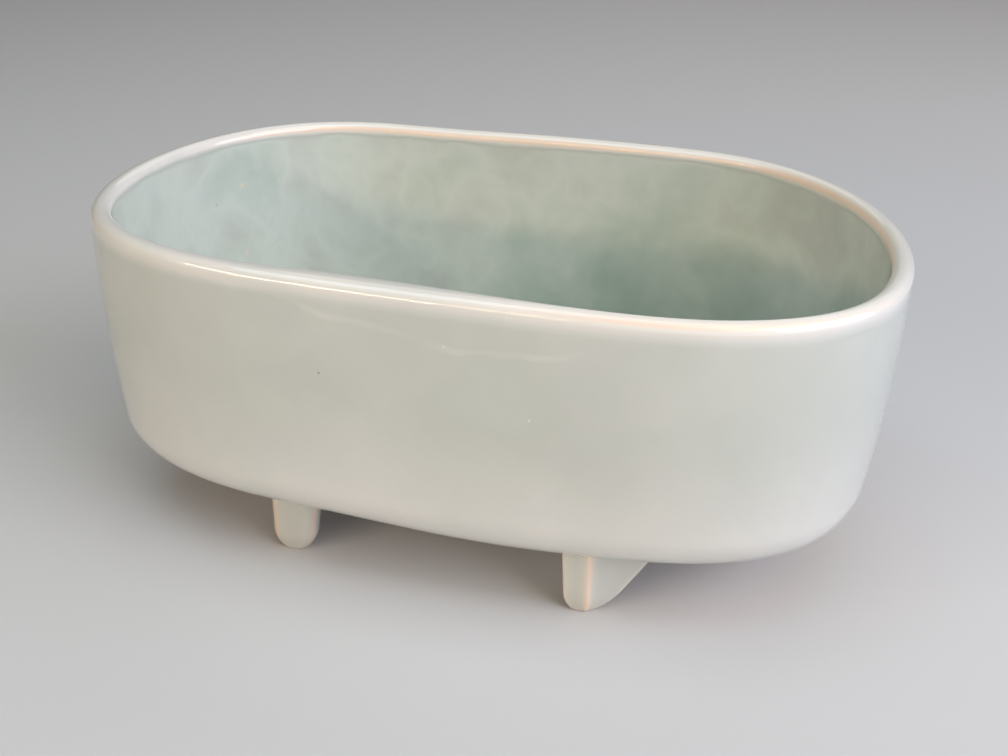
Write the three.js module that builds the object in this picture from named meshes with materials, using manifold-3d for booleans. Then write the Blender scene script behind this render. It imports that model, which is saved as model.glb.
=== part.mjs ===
// A glazed ceramic trough for plants: a long oval bowl built from slabs, standing on four cut feet.
// Units are millimetres, +Z is up and +X runs along the bowl. The origin lies on the surface that the
// feet stand on, under the middle of the bowl.

import * as THREE from 'three';
import Module from 'manifold-3d';

const wasm = await Module();
wasm.setup();

// ---- Driving dimensions -------------------------------------------------------------------------

const rimLength = 240;            // outside of the rim, end to end
const rimWidth = 145;             // outside of the rim, front to back
const bowlHeight = 79;            // underside of the floor to the top of the rim
const footHeight = 20;            // standing surface to the underside of the floor

const wallThickness = 6;
const floorThickness = 5;
const wallDrawIn = 3.4;           // how much narrower each side is at the underside than at the rim
const wallBelly = 1.4;            // how far each side swells outwards halfway down
const lowerTurnRadius = 14.5;     // outside rounding between the wall and the underside
const innerTurnRadius = 8.5;      // inside rounding between the wall and the floor
const rimOuterRadius = 3;         // rounding of the rim's outer edge
const rimInnerRadius = 2.5;       // rounding of the rim's inner edge

const cornerFullness = 0.85;      // how far the four corners of the oval stand out past round ends
const cornerDrift = 2.1;          // how much fuller the front corners are than the back ones
const sideSoftness = 0.03;        // 0 gives dead straight sides, more lets them bow

const jointGap = 0.3;             // luting line between two pieces of clay

const footTopFacet = 27.5;        // outer facet of a foot, along its run, where it meets the bowl
const footTipInner = 8;           // inner facet at the tip
const footTopInner = 24;          // the same facet where the foot meets the bowl
const footFlatShare = 0.55;       // standing flat, as a share of the tip's outline
const footHead = 5;               // clay above the underside, before it is scribed to the bowl

// The feet were cut and set by eye, so the two ends differ. `arrisX` is the outer front edge, measured
// from the middle of the bowl, `setback` is the front face's distance in from the rim, `faceWidth` is
// that face's width at the bowl and `taper` how much narrower it is at the tip, `tipFacet` is the outer
// facet's run at the tip, `turn` is the angle in degrees between that facet and the bowl's long side,
// `wedge` is how many degrees the foot widens towards its back, `edgeRadius` rounds the upright edges
// and `noseHeight` is how far up the rounding of the tip reaches.
const leftFoot = {
  arrisX: 53.5, setback: 14.9, faceWidth: 16.2, taper: 3, tipFacet: 5.5,
  turn: 63, wedge: 8, edgeRadius: 4.3, noseHeight: 7,
};
const rightFoot = {
  arrisX: 44.4, setback: 10.4, faceWidth: 9.1, taper: 1.3, tipFacet: 7,
  turn: 38, wedge: 15, edgeRadius: 0.9, noseHeight: 6.5,
};

// ---- How finely the curves are cut --------------------------------------------------------------

const aroundSteps = 88;
const turnSteps = 7;
const rimSteps = 4;
const wallSteps = 4;
const noseSteps = 5;
const footSteps = 4;
const edgeSteps = 3;

// ---- Levels worked out from the dimensions ------------------------------------------------------

const underside = footHeight;
const rimTop = underside + bowlHeight;
const seamLevel = underside + lowerTurnRadius;
const floorTop = underside + floorThickness;

const glaze = { color: 0xb7c3b9, roughness: 0.16, metalness: 0 };
const paleGlaze = { color: 0xc3ccc2, roughness: 0.16, metalness: 0 };
const footGlaze = { color: 0xbdbfb2, roughness: 0.2, metalness: 0 };

// ---- The oval, as the reach of its edge in each direction ---------------------------------------

// How far the rim reaches from the middle, measured square to its own tangent in direction `turn`.
function rimReach(turn) {
  const across = Math.cos(turn);
  const along = Math.sqrt(across * across + sideSoftness * sideSoftness) - sideSoftness;
  const fullLength = Math.sqrt(1 + sideSoftness * sideSoftness) - sideSoftness;
  const stretch = (rimLength - rimWidth) / 2 * along / fullLength;
  const corners = cornerFullness * (1 - Math.cos(4 * turn));
  const drift = cornerDrift * (Math.sin(3 * turn) + Math.sin(turn));
  return rimWidth / 2 + stretch + corners - drift;
}

// The point of the oval, drawn in by `inset`, whose outward direction is `turn`.
function ovalPoint(turn, inset, level) {
  const small = 1e-4;
  const reach = rimReach(turn) - inset;
  const slide = (rimReach(turn + small) - rimReach(turn - small)) / (2 * small);
  const x = reach * Math.cos(turn) - slide * Math.sin(turn);
  const y = reach * Math.sin(turn) + slide * Math.cos(turn);
  return new THREE.Vector3(x, y, level);
}

// Directions whose points lie evenly spaced along the rim, the first of them facing +X.
function evenTurns() {
  const fine = aroundSteps * 60;
  const lengths = [0];
  for (let i = 0; i < fine; i++) {
    const here = ovalPoint(i / fine * Math.PI * 2, 0, 0);
    const next = ovalPoint((i + 1) / fine * Math.PI * 2, 0, 0);
    lengths.push(lengths[i] + here.distanceTo(next));
  }
  const turns = [];
  for (let step = 0; step < aroundSteps; step++) {
    const along = lengths[fine] * step / aroundSteps;
    turns.push(lengths.findIndex((length) => length >= along) / fine * Math.PI * 2);
  }
  return turns;
}

const turns = evenTurns();

function ovalRing([inset, level]) {
  return turns.map((turn) => ovalPoint(turn, inset, level));
}

// ---- Lofts: rings of points skinned into one closed body ----------------------------------------

function addBand(indices, lower, upper, count) {
  for (let i = 0; i < count; i++) {
    const next = (i + 1) % count;
    indices.push(lower + i, lower + next, upper + next);
    indices.push(lower + i, upper + next, upper + i);
  }
}

function addCap(indices, centre, ring, count, facesUp) {
  for (let i = 0; i < count; i++) {
    const next = (i + 1) % count;
    if (facesUp) indices.push(centre, ring + i, ring + next);
    else indices.push(centre, ring + next, ring + i);
  }
}

function middleOf(ring) {
  const middle = new THREE.Vector3();
  for (const point of ring) middle.add(point);
  return middle.divideScalar(ring.length);
}

function geometryFrom(points, indices) {
  const geometry = new THREE.BufferGeometry().setFromPoints(points);
  geometry.setIndex(indices);
  geometry.computeVertexNormals();
  return geometry;
}

// Rings that follow each other all the way round a section, such as a wall's.
function loftLoop(rings) {
  const count = rings[0].length;
  const indices = [];
  for (let r = 0; r < rings.length; r++) {
    addBand(indices, r * count, (r + 1) % rings.length * count, count);
  }
  return geometryFrom(rings.flat(), indices);
}

// Rings from a lower cap to an upper cap.
function loftSolid(rings) {
  const count = rings[0].length;
  const points = [...rings.flat(), middleOf(rings[0]), middleOf(rings.at(-1))];
  const indices = [];
  for (let r = 0; r + 1 < rings.length; r++) addBand(indices, r * count, (r + 1) * count, count);
  addCap(indices, points.length - 2, 0, count, false);
  addCap(indices, points.length - 1, (rings.length - 1) * count, count, true);
  return geometryFrom(points, indices);
}

// ---- Sections of the bowl, as [inset from the rim's outline, level] -----------------------------

// How far the outside of the wall lies in from the rim's outline.
function wallInset(level) {
  const share = (rimTop - level) / bowlHeight;
  return wallDrawIn * share - wallBelly * 4 * share * (1 - share);
}

// A quarter turn about [inset, level], from angle `from` to angle `to` in degrees. Angle 0 points
// outwards, 90 points up.
function quarterTurn([inset, level], [radiusOut, radiusUp], from, to, steps) {
  const points = [];
  for (let i = 0; i <= steps; i++) {
    const angle = THREE.MathUtils.degToRad(from + (to - from) * i / steps);
    points.push([inset - radiusOut * Math.cos(angle), level + radiusUp * Math.sin(angle)]);
  }
  return points;
}

// The wall's face between two levels, moved in by `depth`, without its two ends.
function wallFace(from, to, depth) {
  const points = [];
  for (let i = 1; i < wallSteps; i++) {
    const level = from + (to - from) * i / wallSteps;
    points.push([wallInset(level) + depth, level]);
  }
  return points;
}

// The outside of the lower turn, grown outwards by `clearance`.
function lowerTurn(clearance) {
  const radius = lowerTurnRadius + clearance;
  const centre = [wallInset(seamLevel) + lowerTurnRadius, seamLevel];
  return quarterTurn(centre, [radius, radius], -90, 0, turnSteps);
}

function makeFloor() {
  const innerEdge = wallInset(seamLevel) + wallThickness;
  const innerCentre = [innerEdge + innerTurnRadius, seamLevel];
  const innerRise = seamLevel - floorTop;
  const innerTurn = quarterTurn(innerCentre, [innerTurnRadius, innerRise], 0, -90, turnSteps);
  return loftSolid([...lowerTurn(0), ...innerTurn].map(ovalRing));
}

function makeWall() {
  const foot = seamLevel + jointGap;
  const outerShoulder = rimTop - rimOuterRadius;
  const innerShoulder = rimTop - rimInnerRadius;
  const outerCentre = [wallInset(outerShoulder) + rimOuterRadius, outerShoulder];
  const innerCentre = [wallInset(innerShoulder) + wallThickness - rimInnerRadius, innerShoulder];
  const section = [
    [wallInset(foot), foot],
    ...wallFace(foot, outerShoulder, 0),
    ...quarterTurn(outerCentre, [rimOuterRadius, rimOuterRadius], 0, 90, rimSteps),
    ...quarterTurn(innerCentre, [rimInnerRadius, rimInnerRadius], 90, 180, rimSteps),
    ...wallFace(innerShoulder, foot, wallThickness),
    [wallInset(foot) + wallThickness, foot],
  ];
  return loftLoop(section.map(ovalRing));
}

// ---- Feet ---------------------------------------------------------------------------------------

// A convex outline with round corners. The corners run anticlockwise.
function roundedOutline(corners, radius) {
  const outline = [];
  for (let i = 0; i < corners.length; i++) {
    const corner = corners[i];
    const arriving = corner.clone().sub(corners.at(i - 1)).normalize();
    const leaving = corners[(i + 1) % corners.length].clone().sub(corner).normalize();
    const inwards = leaving.clone().sub(arriving).normalize();
    const halfBend = Math.acos(arriving.dot(leaving)) / 2;
    const centre = corner.clone().addScaledVector(inwards, radius / Math.cos(halfBend));
    const start = Math.atan2(-arriving.x, arriving.y);
    for (let k = 0; k <= edgeSteps; k++) {
      const angle = start + 2 * halfBend * k / edgeSteps;
      const spoke = new THREE.Vector2(Math.cos(angle), Math.sin(angle)).multiplyScalar(radius);
      outline.push(spoke.add(centre));
    }
  }
  return outline;
}

function directionAt(degrees) {
  const angle = THREE.MathUtils.degToRad(degrees);
  return new THREE.Vector2(Math.cos(angle), Math.sin(angle));
}

// The foot's plan at a share of its height. X runs outwards from the outer front edge and Y runs in
// under the bowl from the front face.
function footPlan({ faceWidth, taper, tipFacet, turn, wedge, edgeRadius }, share) {
  const { lerp } = THREE.MathUtils;
  const innerFront = new THREE.Vector2(-faceWidth + taper * (1 - share), 0);
  const outerFront = new THREE.Vector2(0, 0);
  const outerBack = directionAt(turn).multiplyScalar(lerp(tipFacet, footTopFacet, share));
  const innerRun = lerp(footTipInner, footTopInner, share);
  const innerBack = innerFront.clone().addScaledVector(directionAt(turn + wedge), innerRun);
  return roundedOutline([innerFront, outerFront, outerBack, innerBack], edgeRadius);
}

// Draws the plan in towards its middle, for the rounded nose of the tip.
function noseShare(level, noseHeight) {
  const drop = 1 - Math.min(level / noseHeight, 1);
  return footFlatShare + (1 - footFlatShare) * Math.sqrt(1 - drop * drop);
}

function footLevels(noseHeight) {
  const levels = [];
  for (let i = 0; i < noseSteps; i++) {
    levels.push(noseHeight * (1 - Math.cos(i / noseSteps * Math.PI / 2)));
  }
  const top = footHeight + footHead;
  for (let i = 0; i <= footSteps; i++) {
    levels.push(noseHeight + (top - noseHeight) * i / footSteps);
  }
  return levels;
}

// `end` is +1 towards +X and `back` is +1 for the feet at the back. Mirrored plans are reversed, so
// that every ring still runs anticlockwise.
function footRing(shape, end, back, level) {
  const plan = footPlan(shape, level / footHeight);
  const middle = new THREE.Vector2();
  for (const point of plan) middle.addScaledVector(point, 1 / plan.length);
  const faceY = rimWidth / 2 - shape.setback;
  const ring = plan.map((point) => {
    const drawn = middle.clone().lerp(point, noseShare(level, shape.noseHeight));
    return new THREE.Vector3(end * (shape.arrisX + drawn.x), back * (faceY - drawn.y), level);
  });
  return end * back > 0 ? ring.reverse() : ring;
}

function solidFrom(geometry) {
  const vertProperties = new Float32Array(geometry.getAttribute('position').array);
  const triVerts = new Uint32Array(geometry.getIndex().array);
  return new wasm.Manifold(new wasm.Mesh({ numProp: 3, vertProperties, triVerts }));
}

function geometryFromSolid(solid) {
  const { vertProperties, triVerts } = solid.getMesh();
  const geometry = new THREE.BufferGeometry();
  geometry.setAttribute('position', new THREE.BufferAttribute(new Float32Array(vertProperties), 3));
  geometry.setIndex(new THREE.BufferAttribute(new Uint32Array(triVerts), 1));
  geometry.computeVertexNormals();
  return geometry;
}

// The room that the bowl takes up, with the luting line around it.
function bowlRoom() {
  const wallFoot = [wallInset(seamLevel) - jointGap, seamLevel + footHead];
  return solidFrom(loftSolid([...lowerTurn(jointGap), wallFoot].map(ovalRing)));
}

const room = bowlRoom();

function makeFoot(shape, end, back) {
  const rings = footLevels(shape.noseHeight).map((level) => footRing(shape, end, back, level));
  return geometryFromSolid(solidFrom(loftSolid(rings)).subtract(room));
}

// ---- The assembly -------------------------------------------------------------------------------

const trough = new THREE.Group();

function addPiece(name, geometry, finish) {
  const piece = new THREE.Mesh(geometry, new THREE.MeshStandardMaterial(finish));
  piece.name = name;
  trough.add(piece);
}

addPiece('wall', makeWall(), glaze);
addPiece('floor', makeFloor(), paleGlaze);
addPiece('front_left_foot', makeFoot(leftFoot, -1, -1), footGlaze);
addPiece('front_right_foot', makeFoot(rightFoot, 1, -1), footGlaze);
addPiece('back_left_foot', makeFoot(leftFoot, -1, 1), footGlaze);
addPiece('back_right_foot', makeFoot(rightFoot, 1, 1), footGlaze);

export default trough;
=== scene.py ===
# %% [markdown]
# # A long oval planter in pale celadon glaze, on four cut feet
# The real object is hand-built: a strip of clay bent into an oval wall, a floor slab luted under it with
# its edge rubbed round, and four feet cut with a knife and stuck on. One glaze covers it all. The CAD
# part holds its sizes. This script adds the looks round that part and never moves or resizes it.

# %% Load the fixed frame
import math

import bpy
import numpy as np
from mathutils import Matrix, Vector


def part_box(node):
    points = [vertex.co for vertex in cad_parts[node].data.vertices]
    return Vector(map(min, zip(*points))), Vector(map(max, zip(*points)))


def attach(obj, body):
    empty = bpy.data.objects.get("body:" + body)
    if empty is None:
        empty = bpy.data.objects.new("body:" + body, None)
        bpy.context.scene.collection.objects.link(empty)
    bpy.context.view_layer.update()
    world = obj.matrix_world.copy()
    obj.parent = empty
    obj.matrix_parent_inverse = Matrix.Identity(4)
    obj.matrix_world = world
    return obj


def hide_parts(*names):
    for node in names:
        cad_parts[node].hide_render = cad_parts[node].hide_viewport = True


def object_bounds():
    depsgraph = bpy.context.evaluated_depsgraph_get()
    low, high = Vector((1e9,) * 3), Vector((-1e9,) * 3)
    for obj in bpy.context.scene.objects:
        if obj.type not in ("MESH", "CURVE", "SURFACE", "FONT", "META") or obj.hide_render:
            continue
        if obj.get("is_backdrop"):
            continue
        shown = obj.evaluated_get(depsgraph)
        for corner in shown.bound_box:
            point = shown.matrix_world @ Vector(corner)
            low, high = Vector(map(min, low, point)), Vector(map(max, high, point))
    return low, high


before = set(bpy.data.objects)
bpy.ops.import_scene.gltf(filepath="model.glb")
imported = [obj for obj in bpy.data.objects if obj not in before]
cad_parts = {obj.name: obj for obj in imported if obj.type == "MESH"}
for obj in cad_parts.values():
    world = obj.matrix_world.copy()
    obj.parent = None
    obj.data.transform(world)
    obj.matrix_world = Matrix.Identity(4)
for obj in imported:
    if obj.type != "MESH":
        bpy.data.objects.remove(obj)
cad_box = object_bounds()
MM = 0.001
RIM_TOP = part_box("wall")[1].z
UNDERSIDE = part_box("floor")[0].z
print("CAD nodes:", sorted(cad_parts))
print("CAD box in mm:", [[round(c / MM, 2) for c in corner] for corner in cad_box])

# %% [markdown]
# ## The camera
# The camera comes first, because every later look at the model goes through it. The photograph was
# taken from the front, a little to the right and from above, with a slight roll. A camera could be
# dragged into place by eye. Here three angles and a distance place it on a sphere round the middle of
# the bowl and two small shifts aim it, because each of these can be fitted to the outline by itself.

# %% Place the camera
CAMERA_AZIMUTH = math.radians(13.98)
CAMERA_ELEVATION = math.radians(28.40)
CAMERA_ROLL = math.radians(1.389)
CAMERA_DISTANCE = 395.15 * MM
SENSOR_MM = 36.0
LENS_MM = 42.857
LOOK_RIGHT = 3.35 * MM
LOOK_UP = 17.07 * MM
MIDDLE_OF_BOWL = Vector((0.0, -2.08 * MM, UNDERSIDE))


def camera_axes():
    """The camera's own right, up and back directions."""
    flat = math.cos(CAMERA_ELEVATION)
    back = Vector((
        math.sin(CAMERA_AZIMUTH) * flat,
        -math.cos(CAMERA_AZIMUTH) * flat,
        math.sin(CAMERA_ELEVATION),
    ))
    right = Vector((math.cos(CAMERA_AZIMUTH), math.sin(CAMERA_AZIMUTH), 0.0))
    return right, back.cross(right), back


def placed(name, data):
    """A new object of data, in the scene."""
    made = bpy.data.objects.new(name, data)
    bpy.context.scene.collection.objects.link(made)
    return made


right, up, back = camera_axes()
target = MIDDLE_OF_BOWL + LOOK_RIGHT * right + LOOK_UP * up
camera_data = bpy.data.cameras.new("photo_camera")
camera_data.sensor_width = SENSOR_MM
camera_data.lens = LENS_MM
camera = placed("photo_camera", camera_data)
rolled_right = math.cos(CAMERA_ROLL) * right + math.sin(CAMERA_ROLL) * up
rolled_up = math.cos(CAMERA_ROLL) * up - math.sin(CAMERA_ROLL) * right
turn = Matrix((rolled_right, rolled_up, back)).transposed().to_4x4()
camera.matrix_world = Matrix.Translation(target + CAMERA_DISTANCE * back) @ turn
bpy.context.scene.camera = camera
print("camera at", [round(c / MM) for c in camera.location], "mm")

# %% [markdown]
# ## Sizes of the bowl
# The heights come from the frame, so that they follow the CAD part. A mesh could be made by tracing the
# CAD surface, but sizes with names can be read and changed. So the section is drawn again from the
# part's own driving dimensions, under the same names.

# %% Name the sizes
RIM_LENGTH = 240 * MM
RIM_WIDTH = 145 * MM
WALL_THICKNESS = 6 * MM
WALL_DRAW_IN = 3.4 * MM
WALL_BELLY = 1.4 * MM
LOWER_TURN = 14.5 * MM
INNER_TURN = 8.5 * MM
RIM_OUTER_RADIUS = 3 * MM
RIM_INNER_RADIUS = 2.5 * MM
CORNER_FULLNESS = 0.85 * MM
CORNER_DRIFT = 2.1 * MM
SIDE_SOFTNESS = 0.03
FLOOR_THICKNESS = 5 * MM
SEAM = UNDERSIDE + LOWER_TURN     # where the wall stands on the floor
FLOOR_TOP = UNDERSIDE + FLOOR_THICKNESS
print("underside", round(UNDERSIDE / MM, 2), "rim", round(RIM_TOP / MM, 2))

# %% [markdown]
# ## The oval of the rim
# Every part of the bowl follows one oval: a stadium with soft sides and slightly full corners, as a bent
# strip of clay takes it. It could be drawn with a handful of Bezier points. It is written instead as
# the distance of each tangent from the middle, because an outline that is written this way can be
# drawn in by any amount, and its outward direction is simply the angle.

# %% Work out the oval
PATH_POINTS = 1440
FINE_STEPS = 20000                # steps along the oval when its length is measured


def rim_reach(turn):
    """How far the oval reaches in the direction turn, square to its own tangent."""
    along = np.sqrt(np.cos(turn) ** 2 + SIDE_SOFTNESS ** 2) - SIDE_SOFTNESS
    full = math.sqrt(1 + SIDE_SOFTNESS ** 2) - SIDE_SOFTNESS
    stretch = (RIM_LENGTH - RIM_WIDTH) / 2 * along / full
    corners = CORNER_FULLNESS * (1 - np.cos(4 * turn))
    drift = CORNER_DRIFT * (np.sin(3 * turn) + np.sin(turn))
    return RIM_WIDTH / 2 + stretch + corners - drift


def oval(turn, inset=0.0):
    """The point of the oval, drawn in by inset, that faces the direction turn."""
    small = 1e-4
    reach = rim_reach(turn) - inset
    slide = (rim_reach(turn + small) - rim_reach(turn - small)) / (2 * small)
    x = reach * np.cos(turn) - slide * np.sin(turn)
    y = reach * np.sin(turn) + slide * np.cos(turn)
    return np.stack([x, y], axis=-1)


def even_turns(count):
    """Directions whose points lie evenly spaced along the oval."""
    fine = np.linspace(0, 2 * math.pi, FINE_STEPS + 1)
    steps = np.linalg.norm(np.diff(oval(fine), axis=0), axis=1)
    length = np.concatenate([[0], np.cumsum(steps)])
    return np.interp(np.arange(count) / count * length[-1], length, fine), length[-1]


turns, rim_run = even_turns(PATH_POINTS)
rim_points = oval(turns)
print("once round the rim:", round(rim_run / MM), "mm")

# %% [markdown]
# ## The section of the wall and floor
# The real wall is a rolled slab of even thickness with a rounded rim, and its foot turns round under
# the bowl into the floor. The section runs from the middle of the floor, up the inside, over the rim
# and down the outside to the middle of the underside. Round stretches are arcs, and a bevel modifier
# could round them too, but then no point would know where on the wall it lies. Here each point can
# carry numbers into the mesh for the glaze. The rows of points crowd towards the rim, because that is
# where the light and the colour change fastest.

# %% Draw the section
WALL_STEPS = 36
ROW_CROWDING = 1.5                # above 1, the rows of a wall's face crowd towards the rim
FLAT_INSET = 40 * MM              # from here the rings shrink straight to the middle
FLAT_STEPS = 14
TURN_STEPS = 16
RIM_STEPS = 10


def wall_inset(level):
    """How far the outside of the wall lies in from the oval at a level."""
    share = (RIM_TOP - level) / (RIM_TOP - UNDERSIDE)
    return WALL_DRAW_IN * share - WALL_BELLY * 4 * share * (1 - share)


def arc(centre, radii, start, end, steps):
    """Points [inset, level] on an arc. Angle 0 points outwards and 90 points up."""
    angles = np.radians(np.linspace(start, end, steps + 1))
    inset = centre[0] - radii[0] * np.cos(angles)
    return np.stack([inset, centre[1] + radii[1] * np.sin(angles)], axis=-1)


def wall_face(shoulder, depth):
    """The wall's face from the rim's shoulder down to the seam, without its ends."""
    share = np.linspace(0, 1, WALL_STEPS + 1)[1:-1] ** ROW_CROWDING
    level = shoulder + (SEAM - shoulder) * share
    return np.stack([wall_inset(level) + depth, level], axis=-1)


def flat(level, start, end, steps):
    """A level stretch, without its ends."""
    inset = np.linspace(start, end, steps + 1)[1:-1]
    return np.stack([inset, np.full_like(inset, level)], axis=-1)


def bowl_section():
    """The section's points and the number of the first one on the outside of the rim."""
    turn_centre = [wall_inset(SEAM) + LOWER_TURN, SEAM]
    inner_radii = [INNER_TURN, SEAM - FLOOR_TOP]
    inner_shoulder = RIM_TOP - RIM_INNER_RADIUS
    outer_shoulder = RIM_TOP - RIM_OUTER_RADIUS
    inner_inset = wall_inset(inner_shoulder) + WALL_THICKNESS - RIM_INNER_RADIUS
    outer_inset = wall_inset(outer_shoulder) + RIM_OUTER_RADIUS
    inner_turn = arc(turn_centre, inner_radii, -90, 0, TURN_STEPS)
    rim_inner = arc([inner_inset, inner_shoulder], [RIM_INNER_RADIUS] * 2, 180, 90, RIM_STEPS)
    rim_outer = arc([outer_inset, outer_shoulder], [RIM_OUTER_RADIUS] * 2, 90, 0, RIM_STEPS)
    lower_turn = arc(turn_centre, [LOWER_TURN] * 2, 0, -90, TURN_STEPS)
    stretches = [
        [[FLAT_INSET, FLOOR_TOP]],
        flat(FLOOR_TOP, FLAT_INSET, turn_centre[0], FLAT_STEPS),
        inner_turn,
        wall_face(inner_shoulder, WALL_THICKNESS)[::-1],
        rim_inner,
        rim_outer,
        wall_face(outer_shoulder, 0.0),
        lower_turn,
        flat(UNDERSIDE, turn_centre[0], FLAT_INSET, FLAT_STEPS),
        [[FLAT_INSET, UNDERSIDE]],
    ]
    inside = sum(len(stretch) for stretch in stretches[:5])
    return np.concatenate(stretches), inside


section, inside_count = bowl_section()
print("section points:", len(section), "of them inside:", inside_count)

# %% [markdown]
# ## What the maker's hands left
# No hand-built bowl is true. The far rim dips a little left of the middle. In front, the wall is
# thicker left of the middle, where the strip of clay was joined, and was squeezed thinner on the
# right. The front of the floor sank between its feet in the kiln. Sculpting could shape all this, but
# it couldn't be read or repeated. So all four are soft humps along the oval, and the section says how
# far each reaches up or down the wall.

# %% Describe the dip, the join, the squeeze and the sag
RIM_DIP = 1.2 * MM
RIM_DIP_AT = -42 * MM
RIM_DIP_SPREAD = 42 * MM
JOIN_THICKER = 2.1 * MM
JOIN_AT = -18 * MM
JOIN_SPREAD = 38 * MM
SQUEEZED_THINNER = 1.7 * MM
SQUEEZED_AT = 72 * MM
SQUEEZED_SPREAD = 44 * MM
CREST_HOLD = 2 * MM               # the crest stays, and the full change starts this far inside it
FLOOR_SAG = 2.0 * MM
FLOOR_SAG_AT = 14 * MM
FLOOR_SAG_SPREAD = 36 * MM
DIP_FADES = 20 * MM               # above the underside
JOIN_FADES = 20 * MM              # above the seam
SAG_FADES = 12 * MM               # above the seam


def hump(place, middle, spread):
    """1 at middle, falling off smoothly to both sides."""
    return np.exp(-((place - middle) / spread) ** 2)


def smooth_step(value, low, high):
    """0 below low, 1 above high, and a soft slope between them."""
    share = np.clip((value - low) / (high - low), 0, 1)
    return share * share * (3 - 2 * share)


rim_x, rim_y = rim_points[:, 0], rim_points[:, 1]
at_back = smooth_step(rim_y, 0, RIM_WIDTH / 2)
at_front = smooth_step(-rim_y, 0, RIM_WIDTH / 2)
dip = RIM_DIP * at_back * hump(rim_x, RIM_DIP_AT, RIM_DIP_SPREAD)
join = JOIN_THICKER * at_front * hump(rim_x, JOIN_AT, JOIN_SPREAD)
join -= SQUEEZED_THINNER * at_front * hump(rim_x, SQUEEZED_AT, SQUEEZED_SPREAD)
sag = FLOOR_SAG * at_front * hump(rim_x, FLOOR_SAG_AT, FLOOR_SAG_SPREAD)
follows_rim = smooth_step(section[:, 1], UNDERSIDE + DIP_FADES, RIM_TOP)
follows_floor = smooth_step(-section[:, 1], -SEAM - SAG_FADES, -UNDERSIDE)
is_inside = (np.arange(len(section)) < inside_count).astype(float)
past_crest = np.clip((section[:, 0] - section[inside_count, 0]) / CREST_HOLD, 0, 1)
follows_join = is_inside * past_crest * smooth_step(section[:, 1], SEAM, SEAM + JOIN_FADES)
print("dip", round(dip.max() / MM, 2), "mm, sag", round(sag.max() / MM, 2), "mm")

# %% [markdown]
# ## Where the glaze lies thin
# Glaze runs off an edge while it melts, so the clay shows through on the rim: a peach line along its
# inner edge, and a softer cream one along its outer edge. The top between them keeps a pale skin. The
# inner line is weakest at the left end, and the outer one shows mostly in front on the right. The peach
# is made light, so along the far rim it is also a painted highlight on the inner edge. A mask could be
# painted, but a painted mask is lost when a size changes. So each line is a hump over the section times
# a strength along the rim, and the tree multiplies the two.

# %% Describe the thin glaze on the rim
INNER_LIP_WIDTH = 1.3 * MM
OUTER_LIP_WIDTH = 1.2 * MM
CREST_FROM, CREST_TO = 3.5 * MM, 8 * MM      # from the crest, the pale skin fades out between these
INSIDE_FROM, INSIDE_TO = 2 * MM, 5.5 * MM    # from the crest, the inner glaze begins between these
INNER_LIP_LEAST = 0.45                       # at the left end; it grows to 1 further right
INNER_LIP_GROWS = (-118 * MM, -95 * MM)
OUTER_LIP_LEAST, OUTER_LIP_MOST = 0.05, 0.50
OUTER_LIP_GROWS = (-10 * MM, 60 * MM)
section_run = np.concatenate([[0], np.cumsum(np.linalg.norm(np.diff(section, axis=0), axis=1))])
inner_lip_at = section_run[inside_count - RIM_STEPS]
outer_lip_at = section_run[inside_count + RIM_STEPS // 2]
crest_at = section_run[inside_count + 1]
glazed_inside = is_inside * smooth_step(crest_at - section_run, INSIDE_FROM, INSIDE_TO)
inner_lip = hump(section_run, inner_lip_at, INNER_LIP_WIDTH)
outer_lip = hump(section_run, outer_lip_at, OUTER_LIP_WIDTH)
crest = 1 - smooth_step(np.abs(section_run - crest_at), CREST_FROM, CREST_TO)
inner_lip_shows = INNER_LIP_LEAST + (1 - INNER_LIP_LEAST) * smooth_step(rim_x, *INNER_LIP_GROWS)
front_right = smooth_step(rim_x, *OUTER_LIP_GROWS) * at_front
outer_lip_shows = OUTER_LIP_LEAST + (OUTER_LIP_MOST - OUTER_LIP_LEAST) * front_right
print("inner lip", round((crest_at - inner_lip_at) / MM, 1), "mm inside the crest")

# %% [markdown]
# ## Sweeping the bowl with Geometry Nodes
# The bowl is one rule: a section swept round a path. `Curve to Mesh` does that in a node tree, and it
# carries the numbers of the path and of the section into the mesh. A sweep could also be written as a
# loop over vertices, but the tree keeps its sizes as inputs that can be changed on the modifier. The
# short helpers below make a tree readable: each line of it is one sum.

# %% Helpers for building trees
def line_mesh(name, points, cyclic, numbers):
    """A mesh of points and edges with named numbers on its points, for Mesh to Curve."""
    mesh = bpy.data.meshes.new(name)
    count = len(points)
    edges = [(i, (i + 1) % count) for i in range(count if cyclic else count - 1)]
    mesh.from_pydata(points.tolist(), edges, [])
    for key, values in numbers.items():
        kind = "FLOAT_VECTOR" if values.ndim == 2 else "FLOAT"
        field = "vector" if values.ndim == 2 else "value"
        layer = mesh.attributes.new(key, kind, "POINT")
        layer.data.foreach_set(field, values.astype(np.float32).ravel())
    return placed(name, mesh)


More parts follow.
